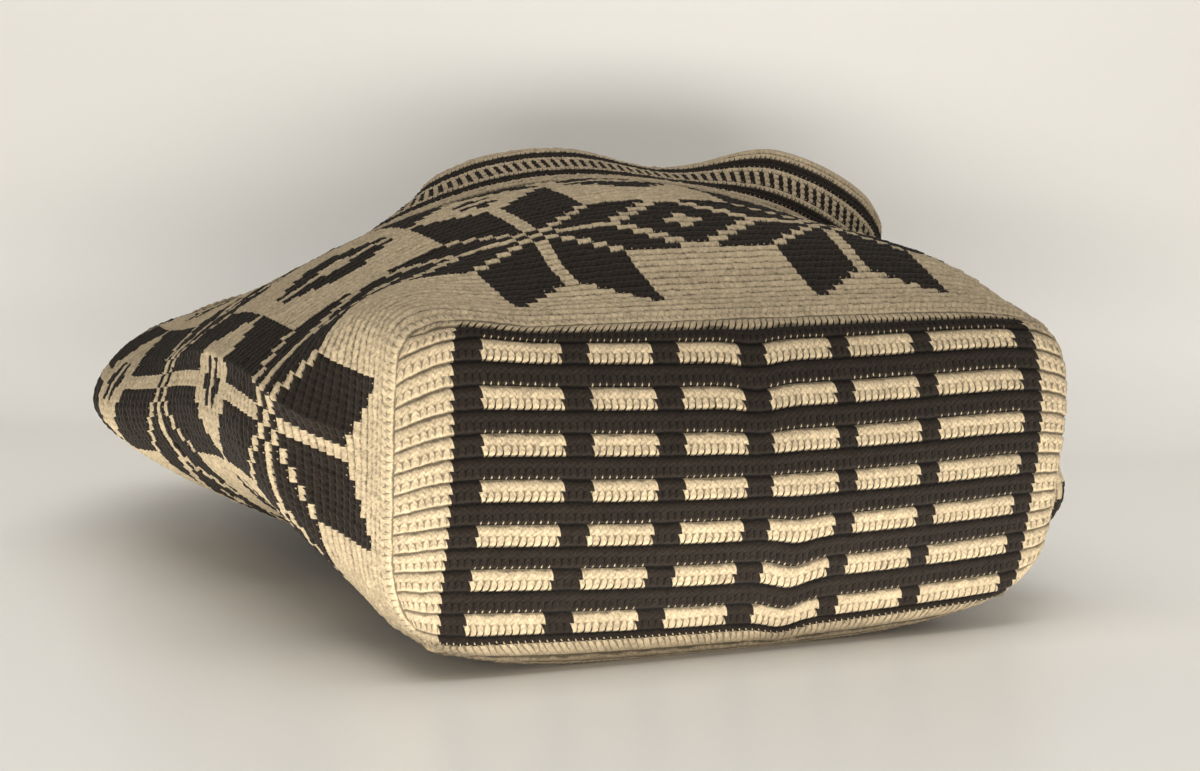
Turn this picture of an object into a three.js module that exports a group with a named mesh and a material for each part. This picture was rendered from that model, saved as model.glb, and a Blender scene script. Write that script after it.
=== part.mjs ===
// Crocheted tote bag lying on its back panel: one crocheted body with an open mouth, and one strap.
// Millimetres, +Z up. X runs along the base, the base faces -Y and the mouth faces +Y.
import * as THREE from 'three';

// Size of the wall laid flat: from the edge of the base to the mouth, and once round the bag
const BAG_HEIGHT = 401.8;
const GIRTH = 800.4;

// Crochet gauge: the wall is worked in rounds from the edge of the base, the base in rows along X
const ROUND_HEIGHT = 4.32;
const ROUNDS_PER_RIDGE = 2;
const BASE_ROW_PAIR = 8;
const RIDGE_HEIGHT = 0.9;
const FABRIC = 5;
const HEM_HEIGHT = 1.4;

// Filled shape: thickness of the bag from the base, over the belly, to the mouth
const BASE_DEPTH = 126;
const BELLY_DEPTH = 167;
const BELLY_REACH = 140;
const MOUTH_DEPTH = 73;
const EDGE_RADIUS = 9;
const BASE_BULGE = 8;

// Girth taken in where the wall turns into the base, and where the mouth is drawn in
const BASE_TAKE_IN = 42;
const BASE_TAKE_IN_REACH = 88;
const MOUTH_TAKE_IN = 151;
const MOUTH_TAKE_IN_START = 240;

// Outline of a cross-section: superellipse exponents at the base and further up
const BASE_UPPER_SQUARENESS = 6.8;
const BASE_LOWER_SQUARENESS = 4.0;
const WALL_SQUARENESS = 1.75;
const SQUARE_REACH = 55;

// How the bag lies: flattened underside, lifted mouth, and the sideways lie of the mouth
const UNDERSIDE_SINK = 3;
const SINK_REACH = 24;
const MOUTH_LIFT = 29;
const MOUTH_LIFT_START = 169;
const MOUTH_SHIFT = 28;
const MOUTH_SKEW = 0.246;
const FILL_TILT = 0.035;

// Strap: sewn inside the mouth, folded back over the upper panel
const STRAP_WIDTH = 44;
const STRAP_THICKNESS = 4;
const STRAP_ROWS = 5;
const STRAP_TAIL = 28;
const STRAP_LEFT = 88;
const STRAP_RIGHT = 168;
const SEAT_GAP = 0.3;
const STRAP_SLACK = 2.2;

// Mesh fineness
const AROUND = 40;
const EDGE_STEPS = 3;
const INSIDE_RINGS = 9;
const BASE_COLUMNS = 14;
const OUTLINE_STEPS = 128;
const STRAP_STEPS = 44;
const FOLD_STEPS = 6;
const ROUTE_STEP = 0.01;

const CREAM = 0xc9b693;
const CREAM_STRAP = 0xc2ae8b;

const STRAP_RISE = STRAP_THICKNESS / 2 + SEAT_GAP + STRAP_SLACK;
const { degToRad, lerp, smoothstep } = THREE.MathUtils;

// Thickness of the bag at a distance y from the base edge
function depthAt(y) {
  if (y < BELLY_REACH) {
    const rise = Math.sin((Math.PI / 2) * Math.max(y, 0) / BELLY_REACH);
    return lerp(BASE_DEPTH, BELLY_DEPTH, rise);
  }
  const fall = 0.5 - 0.5 * Math.cos(Math.PI * (y - BELLY_REACH) / (BAG_HEIGHT - BELLY_REACH));
  return lerp(BELLY_DEPTH, MOUTH_DEPTH, fall);
}

// Girth of the wall at y: the stitch count gives it, less what is taken in at either end
function girthAt(y) {
  const turn = 1 - Math.sin((Math.PI / 2) * Math.min(1, Math.max(y, 0) / BASE_TAKE_IN_REACH));
  return GIRTH - BASE_TAKE_IN * turn - MOUTH_TAKE_IN * smoothstep(y, MOUTH_TAKE_IN_START, BAG_HEIGHT);
}

// Squareness of the upper and lower half of the cross-section at y
function squarenessAt(y) {
  const share = Math.exp(-((Math.max(y, 0) / SQUARE_REACH) ** 2));
  return {
    upper: lerp(WALL_SQUARENESS, BASE_UPPER_SQUARENESS, share),
    lower: lerp(WALL_SQUARENESS, BASE_LOWER_SQUARENESS, share),
  };
}

// Height of the cross-section's lowest point before the floor flattens it
function undersideAt(y) {
  return MOUTH_LIFT * smoothstep(y, MOUTH_LIFT_START, BAG_HEIGHT) - UNDERSIDE_SINK * smoothstep(y, 0, SINK_REACH);
}

// Point of a superellipse at angle t, from the left end over the top
function outlinePoint(t, halfWidth, halfDepth, { upper, lower }) {
  const c = Math.cos(t);
  const s = Math.sin(t);
  const power = 2 / (s >= 0 ? upper : lower);
  const x = -Math.sign(c) * halfWidth * Math.abs(c) ** power;
  const z = Math.sign(s) * halfDepth * Math.abs(s) ** power;
  return new THREE.Vector2(x, z);
}

function outlineLength(halfWidth, halfDepth, squareness) {
  let length = 0;
  let last = outlinePoint(0, halfWidth, halfDepth, squareness);
  for (let i = 1; i <= OUTLINE_STEPS; i += 1) {
    const next = outlinePoint((2 * Math.PI * i) / OUTLINE_STEPS, halfWidth, halfDepth, squareness);
    length += next.distanceTo(last);
    last = next;
  }
  return length;
}

// Half width of the cross-section at y: the one that uses up the girth at that thickness
const halfWidths = new Map();
function halfWidthAt(y) {
  if (!halfWidths.has(y)) {
    const girth = girthAt(y);
    let low = 0;
    let high = girth / 2;
    while (high - low > 1e-6) {
      const middle = (low + high) / 2;
      if (outlineLength(middle, depthAt(y) / 2, squarenessAt(y)) < girth) low = middle;
      else high = middle;
    }
    halfWidths.set(y, low);
  }
  return halfWidths.get(y);
}

// Point of the wall at angle t and distance y from the base edge, set in from the outside by inset
function wallPoint(t, y, inset = 0) {
  const halfDepth = depthAt(y) / 2;
  const halfWidth = halfWidthAt(y) - inset;
  const outline = outlinePoint(t, halfWidth, halfDepth - inset, squarenessAt(y));
  const up = Math.max(y, 0) / BAG_HEIGHT;
  const tilt = 1 + FILL_TILT * smoothstep(y, 0, BELLY_REACH) * (outline.x / halfWidth);
  const floor = Math.max(inset, 0);
  const z = Math.max((outline.y + halfDepth + undersideAt(y)) * tilt, floor);
  return new THREE.Vector3(outline.x + MOUTH_SHIFT * up, y + MOUTH_SKEW * outline.x * up, z);
}

// One closed loop of wall points
function wallLoop(y, inset = 0) {
  return Array.from({ length: AROUND }, (_, i) => wallPoint((2 * Math.PI * i) / AROUND, y, inset));
}

// Collects points and triangles of one closed body
class BodyMesh {
  constructor() {
    this.points = [];
    this.triangles = [];
  }

  // Adds points and returns their indices
  add(points) {
    const first = this.points.length;
    this.points.push(...points);
    return points.map((_, i) => first + i);
  }

  face(a, b, c) {
    this.triangles.push(a, b, c);
  }

  quad(a, b, c, d) {
    this.face(a, b, c);
    this.face(a, c, d);
  }

  // Joins two closed loops of equal count
  bridge(from, to) {
    from.forEach((a, i) => {
      const j = (i + 1) % from.length;
      this.quad(a, from[j], to[j], to[i]);
    });
  }

  // Share of the loop's length reached at each of its points, from 0 to 1
  shares(loop) {
    const sums = [0];
    loop.forEach((a, i) => {
      const b = loop[(i + 1) % loop.length];
      sums.push(sums[i] + this.points[a].distanceTo(this.points[b]));
    });
    return sums.map((sum) => sum / sums[loop.length]);
  }

  // Joins two closed loops of different counts that start side by side
  zip(from, to) {
    const fromShares = this.shares(from);
    const toShares = this.shares(to);
    let i = 0;
    let j = 0;
    while (i < from.length || j < to.length) {
      const a = from[i % from.length];
      const b = to[j % to.length];
      if (j === to.length || (i < from.length && fromShares[i + 1] <= toShares[j + 1])) {
        i += 1;
        this.face(a, from[i % from.length], b);
      } else {
        j += 1;
        this.face(a, to[j % to.length], b);
      }
    }
  }

  // Closes a loop with a fan to one middle point
  fan(loop, middle) {
    loop.forEach((a, i) => this.face(a, loop[(i + 1) % loop.length], middle));
  }

  geometry() {
    const geometry = new THREE.BufferGeometry();
    const positions = this.points.flatMap((point) => point.toArray());
    geometry.setAttribute('position', new THREE.Float32BufferAttribute(positions, 3));
    geometry.setIndex(this.triangles);
    geometry.computeVertexNormals();
    return geometry;
  }
}

// Point of the base panel, u along X and w up, both from -1 to 1: rows bow with the lower edge
function basePoint(u, w, ridge) {
  const { upper, lower } = squarenessAt(0);
  const corner = 1 - 0.5 ** (1 / (w > 0 ? upper : lower));
  const halfDepth = BASE_DEPTH / 2 - EDGE_RADIUS;
  const x = (halfWidthAt(0) - EDGE_RADIUS) * u * (1 - corner * w ** 4);
  const z = BASE_DEPTH / 2 + halfDepth * w * (1 - corner * u ** 4);
  const y = -EDGE_RADIUS - BASE_BULGE * (1 - u * u) * (1 - w * w) - ridge;
  return new THREE.Vector3(x, y, z);
}

// Base panel with its row ridges; returns the border loop from the left middle over the top
function addBasePanel(mesh) {
  const lines = 2 * Math.round((BASE_DEPTH - 2 * EDGE_RADIUS) / BASE_ROW_PAIR);
  const grid = Array.from({ length: lines + 1 }, (_, j) => {
    const ridge = j % 2 ? RIDGE_HEIGHT : 0;
    const row = Array.from({ length: BASE_COLUMNS + 1 }, (__, i) => {
      const u = (2 * i) / BASE_COLUMNS - 1;
      return basePoint(u, (2 * j) / lines - 1, ridge);
    });
    return mesh.add(row);
  });
  for (let j = 0; j < lines; j += 1) {
    for (let i = 0; i < BASE_COLUMNS; i += 1) {
      mesh.quad(grid[j][i], grid[j][i + 1], grid[j + 1][i + 1], grid[j + 1][i]);
    }
  }
  const left = grid.map((row) => row[0]);
  const right = grid.map((row) => row[BASE_COLUMNS]).reverse();
  const top = grid[lines].slice(1, -1);
  const bottom = grid[0].slice(1, -1).reverse();
  const border = [...left, ...top, ...right, ...bottom];
  const middle = lines / 2;
  return [...border.slice(middle), ...border.slice(0, middle)];
}

// Body: base panel, rounded edge, ridged wall, hem at the mouth, and the plain inside
function makeBody() {
  const mesh = new BodyMesh();
  const border = addBasePanel(mesh);
  const edgeLoop = (step) => {
    const angle = (Math.PI / 2) * (step / EDGE_STEPS);
    return wallLoop(-EDGE_RADIUS * Math.sin(angle), EDGE_RADIUS * (1 - Math.cos(angle)));
  };
  let loop = mesh.add(edgeLoop(EDGE_STEPS - 1));
  mesh.zip(border, loop);
  const extend = (points) => {
    const next = mesh.add(points);
    mesh.bridge(loop, next);
    loop = next;
  };
  for (let step = EDGE_STEPS - 2; step > 0; step -= 1) extend(edgeLoop(step));
  const ridgePitch = ROUNDS_PER_RIDGE * ROUND_HEIGHT;
  const ridges = Math.floor(BAG_HEIGHT / ridgePitch) - 1;
  for (let i = 0; i < ridges; i += 1) {
    extend(wallLoop(i * ridgePitch));
    extend(wallLoop((i + 0.5) * ridgePitch, -RIDGE_HEIGHT));
  }
  extend(wallLoop(ridges * ridgePitch));
  extend(wallLoop(BAG_HEIGHT - FABRIC / 2, -HEM_HEIGHT));
  extend(wallLoop(BAG_HEIGHT, FABRIC / 4));
  for (let i = INSIDE_RINGS; i >= 0; i -= 1) extend(wallLoop((BAG_HEIGHT * i) / INSIDE_RINGS, FABRIC));
  extend(wallLoop(FABRIC - EDGE_RADIUS, FABRIC + EDGE_RADIUS));
  const middle = new THREE.Vector3(0, FABRIC - EDGE_RADIUS - BASE_BULGE, BASE_DEPTH / 2);
  mesh.fan(loop, mesh.add([middle])[0]);
  return mesh.geometry();
}

// Directions on the wall at angle t and distance y: around, towards the mouth, and outwards
function wallFrame(t, y) {
  const step = 0.02;
  const around = wallPoint(t + step, y).sub(wallPoint(t - step, y)).normalize();
  const along = wallPoint(t, y + 1).sub(wallPoint(t, y - 1)).normalize();
  return { around, along, out: new THREE.Vector3().crossVectors(around, along).normalize() };
}

// Places of the strap's outer edge on the panel: angle round the bag, share of the way from the mouth
// to the base, and lean
const strapRoute = new THREE.CatmullRomCurve3([
  new THREE.Vector3(STRAP_LEFT, 0, 0),
  new THREE.Vector3(82, 0.179, 2),
  new THREE.Vector3(70, 0.353, 16),
  new THREE.Vector3(84, 0.473, 28),
  new THREE.Vector3(101, 0.528, 29),
  new THREE.Vector3(116, 0.567, 22),
  new THREE.Vector3(133, 0.602, 45),
  new THREE.Vector3(154, 0.612, 52),
  new THREE.Vector3(170, 0.562, 32),
  new THREE.Vector3(174, 0.353, 5),
  new THREE.Vector3(STRAP_RIGHT, 0, 0),
], false, 'catmullrom');

// Wall point under a place of the route
function routePoint({ x, y }) {
  return wallPoint(degToRad(x), BAG_HEIGHT * (1 - y));
}

// Seat of the strap on the panel at share q of its loop: its outer edge, and the way across it
function loopSeat(q) {
  const place = strapRoute.getPoint(q);
  const { around, along, out } = wallFrame(degToRad(place.x), BAG_HEIGHT * (1 - place.y));
  const before = routePoint(strapRoute.getPoint(Math.max(q - ROUTE_STEP, 0)));
  const heading = routePoint(strapRoute.getPoint(Math.min(q + ROUTE_STEP, 1))).sub(before);
  const sideways = new THREE.Vector2(-heading.dot(along), heading.dot(around)).normalize();
  const flat = around.clone().multiplyScalar(sideways.x).addScaledVector(along, sideways.y);
  const lean = degToRad(place.z);
  const across = flat.multiplyScalar(Math.cos(lean)).addScaledVector(out, Math.sin(lean));
  return { edge: routePoint(place).addScaledVector(out, STRAP_RISE), across };
}

// Way across the tail inside the mouth: both edges of the band lie at the same depth in the wall
function tailAcross(angle, side, inset) {
  const start = wallPoint(angle, BAG_HEIGHT, inset);
  const step = side * ROUTE_STEP;
  let reach = angle + step;
  while (wallPoint(reach, BAG_HEIGHT, inset).distanceTo(start) < STRAP_WIDTH) reach += step;
  return wallPoint(reach, BAG_HEIGHT, inset).sub(start).normalize();
}

// Seats of one end, from the panel round the hem to the tail inside the mouth
function foldSeats(angle, side) {
  const { around, along, out } = wallFrame(angle, BAG_HEIGHT - 1);
  const hem = wallPoint(angle, BAG_HEIGHT);
  const inset = FABRIC + STRAP_RISE;
  const radius = (STRAP_RISE + inset) / 2;
  const outside = around.clone().multiplyScalar(side);
  const inside = tailAcross(angle, side, inset);
  const seat = (past, height, share) => {
    const edge = hem.clone().addScaledVector(along, past).addScaledVector(out, height);
    return { edge, across: outside.clone().lerp(inside, share).normalize() };
  };
  const turns = Array.from({ length: FOLD_STEPS }, (_, i) => (i + 1) / FOLD_STEPS);
  const fold = turns.map((share) => {
    const turn = Math.PI * share;
    return seat(radius * Math.sin(turn), STRAP_RISE - radius + radius * Math.cos(turn), share);
  });
  return [...fold, seat(-STRAP_TAIL, -inset, 1)];
}

// Strap: a band with rows along its length, swept through its seats
function makeStrap() {
  const loop = Array.from({ length: STRAP_STEPS + 1 }, (_, i) => loopSeat(i / STRAP_STEPS));
  const leftEnd = foldSeats(degToRad(STRAP_LEFT), 1).reverse();
  const rightEnd = foldSeats(degToRad(STRAP_RIGHT), -1);
  const seats = [...leftEnd, ...loop, ...rightEnd];
  const mesh = new BodyMesh();
  const lines = 2 * STRAP_ROWS;
  const sections = seats.map(({ edge, across }, i) => {
    const before = seats[Math.max(i - 1, 0)].edge;
    const after = seats[Math.min(i + 1, seats.length - 1)].edge;
    const out = new THREE.Vector3().crossVectors(after.clone().sub(before), across).normalize();
    const at = (share, height) => {
      return edge.clone().addScaledVector(across, share * STRAP_WIDTH).addScaledVector(out, height);
    };
    const faceLine = (j) => at(j / lines, STRAP_THICKNESS / 2 - (j % 2 ? 0 : RIDGE_HEIGHT));
    const face = Array.from({ length: lines + 1 }, (_, j) => faceLine(j));
    return mesh.add([...face, at(1, -STRAP_THICKNESS / 2), at(0, -STRAP_THICKNESS / 2)]);
  });
  for (let i = 0; i + 1 < sections.length; i += 1) mesh.bridge(sections[i + 1], sections[i]);
  const first = sections[0];
  const last = sections[sections.length - 1];
  const close = (loopOf) => {
    for (let j = 1; j + 1 < loopOf.length; j += 1) mesh.face(loopOf[0], loopOf[j], loopOf[j + 1]);
  };
  close(first);
  close([...last].reverse());
  return mesh.geometry();
}

function addPart(group, name, geometry, color) {
  const material = new THREE.MeshStandardMaterial({ color, roughness: 0.95, metalness: 0 });
  const part = new THREE.Mesh(geometry, material);
  part.name = name;
  group.add(part);
}

const bag = new THREE.Group();
addPart(bag, 'bag_body', makeBody(), CREAM);
addPart(bag, 'shoulder_strap', makeStrap(), CREAM_STRAP);

// The origin is on the floor, under the middle of the bag
const box = new THREE.Box3().setFromObject(bag);
const middle = box.getCenter(new THREE.Vector3());
bag.children.forEach((part) => part.geometry.translate(-middle.x, -middle.y, -box.min.z));

export default bag;
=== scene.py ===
"""A filled tapestry-crochet tote bag that lies on its back panel, dressed stitch by stitch."""

import logging
import math
from collections.abc import Iterator
from contextlib import contextmanager
from dataclasses import dataclass
from enum import Enum

import bmesh
import bpy
import numpy as np
from mathutils import Matrix, Vector


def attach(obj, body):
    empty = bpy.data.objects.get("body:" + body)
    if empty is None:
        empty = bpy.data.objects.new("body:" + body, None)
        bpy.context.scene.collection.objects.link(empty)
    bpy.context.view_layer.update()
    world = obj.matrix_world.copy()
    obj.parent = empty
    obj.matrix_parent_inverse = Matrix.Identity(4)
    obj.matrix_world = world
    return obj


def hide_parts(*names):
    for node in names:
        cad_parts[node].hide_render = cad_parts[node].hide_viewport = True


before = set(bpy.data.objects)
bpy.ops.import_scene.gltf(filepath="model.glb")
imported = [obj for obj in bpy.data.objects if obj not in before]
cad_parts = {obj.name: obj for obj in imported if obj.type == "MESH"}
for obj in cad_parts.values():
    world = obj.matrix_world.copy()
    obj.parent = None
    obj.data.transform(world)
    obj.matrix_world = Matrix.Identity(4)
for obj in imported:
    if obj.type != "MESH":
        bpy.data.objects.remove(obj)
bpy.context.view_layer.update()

LOG = logging.getLogger("tote_bag")
MM = 0.001
TINY = 1e-6
SHORTEST = 1e-9
SEAM_GAP = 2e-6
ROW_SHADE = 0.6
COLOUR_MARKS = ("dark", "below", "left")
# Sockets of a node that mixes colours: share, first colour, second colour, and the result.
MIX_INPUTS, MIX_RESULT = (0, 6, 7), 2

Array = np.ndarray
Span = tuple[float, float]
Triple = tuple[float, float, float]
Four = tuple[float, float, float, float]
Piece = bpy.types.Object
Material = bpy.types.Material
GraphNode = bpy.types.Node


class Slot(Enum):
    """Material slots of the record."""

    BODY = "body_crochet"
    STRAP = "strap_crochet"


class Node(Enum):
    """Solids that the dressed pieces stand for."""

    BODY = "bag_body"
    STRAP = "shoulder_strap"


class Kind(Enum):
    """Kinds of sockets on a node group."""

    FLOAT = "NodeSocketFloat"
    COLOUR = "NodeSocketColor"
    VECTOR = "NodeSocketVector"


def smoothstep(value: Array, low: float, high: float) -> Array:
    """Eases from 0 at low to 1 at high."""
    share = np.clip((value - low) / (high - low), 0.0, 1.0)
    return share * share * (3.0 - 2.0 * share)


def plateau(value: Array, span: Four) -> Array:
    """Eases from 0 to 1 between the first two values of a span, and back between the last two."""
    start, full, fade, end = span
    return smoothstep(value, start, full) * (1.0 - smoothstep(value, fade, end))


def hill(value: Array, middle: float, reach: float) -> Array:
    """Bell curve that is 1 at its middle."""
    return np.exp(-(((value - middle) / reach) ** 2))


def unit(vectors: Array) -> Array:
    """Gives vectors a length of 1."""
    return vectors / np.maximum(np.linalg.norm(vectors, axis=-1, keepdims=True), SHORTEST)


def whole(counts: Array) -> Array:
    """Whole numbers of stitches or rows."""
    return np.floor(counts + TINY).astype(int)


@dataclass(frozen=True)
class BagShape:
    """Form of the filled bag in millimetres: cross-sections whose width uses up the girth."""

    height: float = 401.8
    girth: float = 800.4
    base_depth: float = 126.0
    belly_depth: float = 167.0
    belly_reach: float = 140.0
    mouth_depth: float = 73.0
    edge_radius: float = 9.0
    edge_turn: float = 30.0
    base_bulge: float = 8.0
    base_take_in: float = 42.0
    base_take_in_reach: float = 88.0
    mouth_take_in: float = 151.0
    mouth_take_in_start: float = 240.0
    upper_squareness: float = 6.8
    left_squareness: float = 12.0
    lower_squareness: float = 4.0
    wall_squareness: float = 1.75
    square_reach: float = 55.0
    left_reach: float = 43.0
    underside_sink: float = 3.0
    sink_reach: float = 24.0
    mouth_lift: float = 29.0
    mouth_lift_start: float = 195.0
    mouth_shift: float = 28.0
    mouth_skew: float = 0.246
    fill_tilt: float = 0.035
    corner_lift: float = 5.0
    corner_start: float = 85.0
    corner_end: float = 130.0
    corner_reach: float = 45.0
    corner_power: int = 7
    right_lift: float = 2.0
    shoulder_sink: float = 6.0
    shoulder_span: Span = (15.0, 95.0)
    shoulder_place: float = 46.0
    shoulder_reach: float = 27.0
    right_swell: float = 5.5
    swell_start: float = 50.0
    swell_level: float = 88.0
    swell_reach: float = 36.0
    fabric: float = 5.0
    centre: Triple = (19.523, 214.482, 0.0)
    girth_turns: int = 129
    girth_tries: int = 40
    even_turns: int = 1441
    turn_step: float = 0.02
    rise_step: float = 1.0

    def depth_at(self, y: Array) -> Array:
        """Height of the lying bag from its back panel to its front panel.

        Args:
            y: Distances from the base.

        Returns:
            One height for each distance.
        """
        up = np.maximum(y, 0.0)
        rise = np.sin(np.pi / 2 * np.minimum(up / self.belly_reach, 1.0))
        past = np.clip((up - self.belly_reach) / (self.height - self.belly_reach), 0.0, 1.0)
        belly = self.base_depth + (self.belly_depth - self.base_depth) * rise
        return belly + (self.mouth_depth - self.belly_depth) * (0.5 - 0.5 * np.cos(np.pi * past))

    def girth_at(self, y: Array) -> Array:
        """Length of one round of stitches.

        Args:
            y: Distances from the base.

        Returns:
            One length for each distance.
        """
        reach = np.clip(y / self.base_take_in_reach, 0.0, 1.0)
        base = self.base_take_in * (1.0 - np.sin(np.pi / 2 * reach))
        mouth = self.mouth_take_in * smoothstep(y, self.mouth_take_in_start, self.height)
        return self.girth - base - mouth

    def squareness_at(self, y: Array, left: Array, top: Array) -> Array:
        """Powers of a cross-section's upper left, upper right and lower parts.

        Args:
            y: Distances from the base.
            left: True on the left side.
            top: True on the upper half.

        Returns:
            One power for each point.
        """
        share = hill(np.maximum(y, 0.0), 0.0, np.where(left & top, self.left_reach, self.square_reach))
        upper = np.where(left, self.left_squareness, self.upper_squareness)
        square = np.where(top, upper, self.lower_squareness)
        return self.wall_squareness + (square - self.wall_squareness) * share

    def corner_rise(self, x: Array, y: Array, z: Array) -> Array:
        """How far the filling lifts the corners of the base and lets the left shoulder sink.

        Args:
            x: Places to the right of the middle.
            y: Distances from the base.
            z: Heights above the floor.

        Returns:
            One rise for each point.
        """
        side = smoothstep(-x, self.corner_start, self.corner_end)
        level = np.clip(z / self.base_depth, 0.0, 1.0) ** self.corner_power
        under = 1.0 - smoothstep(z, 0.0, self.base_depth / 2)
        right = smoothstep(x, 0.0, self.corner_end)
        sunk = smoothstep(-x, *self.shoulder_span) * np.clip(z / self.belly_depth, 0.0, 1.0) ** 2
        sunk = sunk * hill(y, self.shoulder_place, self.shoulder_reach)
        lifted = self.corner_lift * side * level + self.right_lift * right * under
        return lifted * hill(np.maximum(y, 0.0), 0.0, self.corner_reach) - self.shoulder_sink * sunk

    def swell(self, x: Array, y: Array, z: Array) -> Array:
        """How far the filling pushes the right side of the base outwards.

        Args:
            x: Places to the right of the middle.
            y: Distances from the base.
            z: Heights above the floor.

        Returns:
            One push for each point.
        """
        near = hill(np.maximum(y, 0.0), 0.0, self.corner_reach)
        level = hill(z, self.swell_level, self.swell_reach)
        return self.right_swell * smoothstep(x, self.swell_start, self.corner_end) * level * near

    def underside_at(self, y: Array) -> Array:
        """How far the back panel is off the floor."""
        lift = self.mouth_lift * smoothstep(y, self.mouth_lift_start, self.height)
        return lift - self.underside_sink * smoothstep(y, 0.0, self.sink_reach)

    def outline(self, turn: Array, width: Array, depth: Array, y: Array) -> tuple[Array, Array]:
        """Cross-section of the bag, from its left side over the top.

        Args:
            turn: Angles of the points, one row for each section.
            width: Half widths of the sections, as a column.
            depth: Half depths of the sections, as a column.
            y: Distances of the sections from the base, as a column.

        Returns:
            The points' places to the right and upwards.
        """
        cosine, sine = np.cos(turn), np.sin(turn)
        power = 2.0 / self.squareness_at(y, cosine > 0.0, sine >= 0.0)
        across = -np.sign(cosine) * width * np.abs(cosine) ** power
        return across, np.sign(sine) * depth * np.abs(sine) ** power

    def half_width_at(self, y: Array) -> Array:
        """Half width whose cross-section is as long as the girth.

        Args:
            y: Distances from the base.

        Returns:
            One half width for each distance.
        """
        turns = np.linspace(0.0, 2.0 * np.pi, self.girth_turns)[None]
        wanted, depth = self.girth_at(y), self.depth_at(y)[:, None] / 2
        low, high = np.zeros_like(wanted), wanted / 2
        for _ in range(self.girth_tries):
            middle = (low + high) / 2
            x, z = self.outline(turns, middle[:, None], depth, y[:, None])
            short = np.hypot(np.diff(x), np.diff(z)).sum(axis=1) < wanted
            low, high = np.where(short, middle, low), np.where(short, high, middle)
        return low

    def halves_at(self, y: Array) -> tuple[Array, Array]:
        """Half width and half depth at each distance from the base, as columns."""
        return self.half_width_at(y)[:, None], self.depth_at(y)[:, None] / 2

    def turned(self, turn: Array, y: Array) -> tuple[Array, Array]:
        """Outline points at given angles, from -1 to 1."""
        one = np.ones((len(y), 1))
        return self.outline(turn, one, one, y[:, None])

    def even_sides(self, shares: Array, y: Array) -> tuple[Array, Array]:
        """Outline points at equal shares of the girth, so that all stitches are equally wide.

        Args:
            shares: Shares of the girth from the left side over the top, one row for each distance.
            y: Distances from the base.

        Returns:
            One row of places to the right and upwards for each distance, from -1 to 1.
        """
        width, depth = self.halves_at(y)
        across, rise = self.turned(np.linspace(0.0, 2.0 * np.pi, self.even_turns)[None], y)
        steps = np.hypot(np.diff(across * width), np.diff(rise * depth))
        length = np.concatenate([np.zeros((len(y), 1)), np.cumsum(steps, axis=1)], axis=1)
        even = [[np.interp((part - np.floor(part)) * run[-1], run, side) for side in sides]
                for part, run, *sides in zip(shares, length, across, rise)]
        return np.array([row[0] for row in even]), np.array([row[1] for row in even])

    def points(self, sides: tuple[Array, Array], y: Array, inset: Array) -> Array:
        """Points of the wall.

        Args:
            sides: Outline points, one row for each distance from the base.
            y: Distances from the base.
            inset: How far inside the outer face each row lies.

        Returns:
            Points as an array of rows, columns and coordinates.
        """
        width, depth = self.halves_at(y)
        line, inside = y[:, None], inset[:, None]
        x, z = sides[0] * (width - inside), sides[1] * (depth - inside)
        up = np.maximum(line, 0.0) / self.height
        tilt = 1.0 + self.fill_tilt * smoothstep(line, 0.0, self.belly_reach) * x / (width - inside)
        z = np.maximum((z + depth + self.underside_at(line)) * tilt, np.maximum(inside, 0.0))
        z = z + self.corner_rise(x, line, z)
        aside = self.mouth_shift * up + self.swell(x, line, z)
        return np.stack([x + aside, line + self.mouth_skew * x * up, z], axis=-1)

    def spots(self, turn: Array, y: Array) -> Array:
        """Points of the outer face, one for each angle and distance from the base."""
        return self.points(self.turned(turn[:, None], y), y, np.zeros_like(y))[:, 0]

    def frames(self, turn: Array, y: Array) -> tuple[Array, Array, Array]:
        """Directions round the bag, towards the mouth and out of the wall.

        Args:
            turn: One angle for each point.
            y: One distance from the base for each point.

        Returns:
            The three directions of each point.
        """
        step, rise = self.turn_step, self.rise_step
        around = unit(self.spots(turn + step, y) - self.spots(turn - step, y))
        along = unit(self.spots(turn, y + rise) - self.spots(turn, y - rise))
        return around, along, unit(np.cross(around, along))


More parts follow.
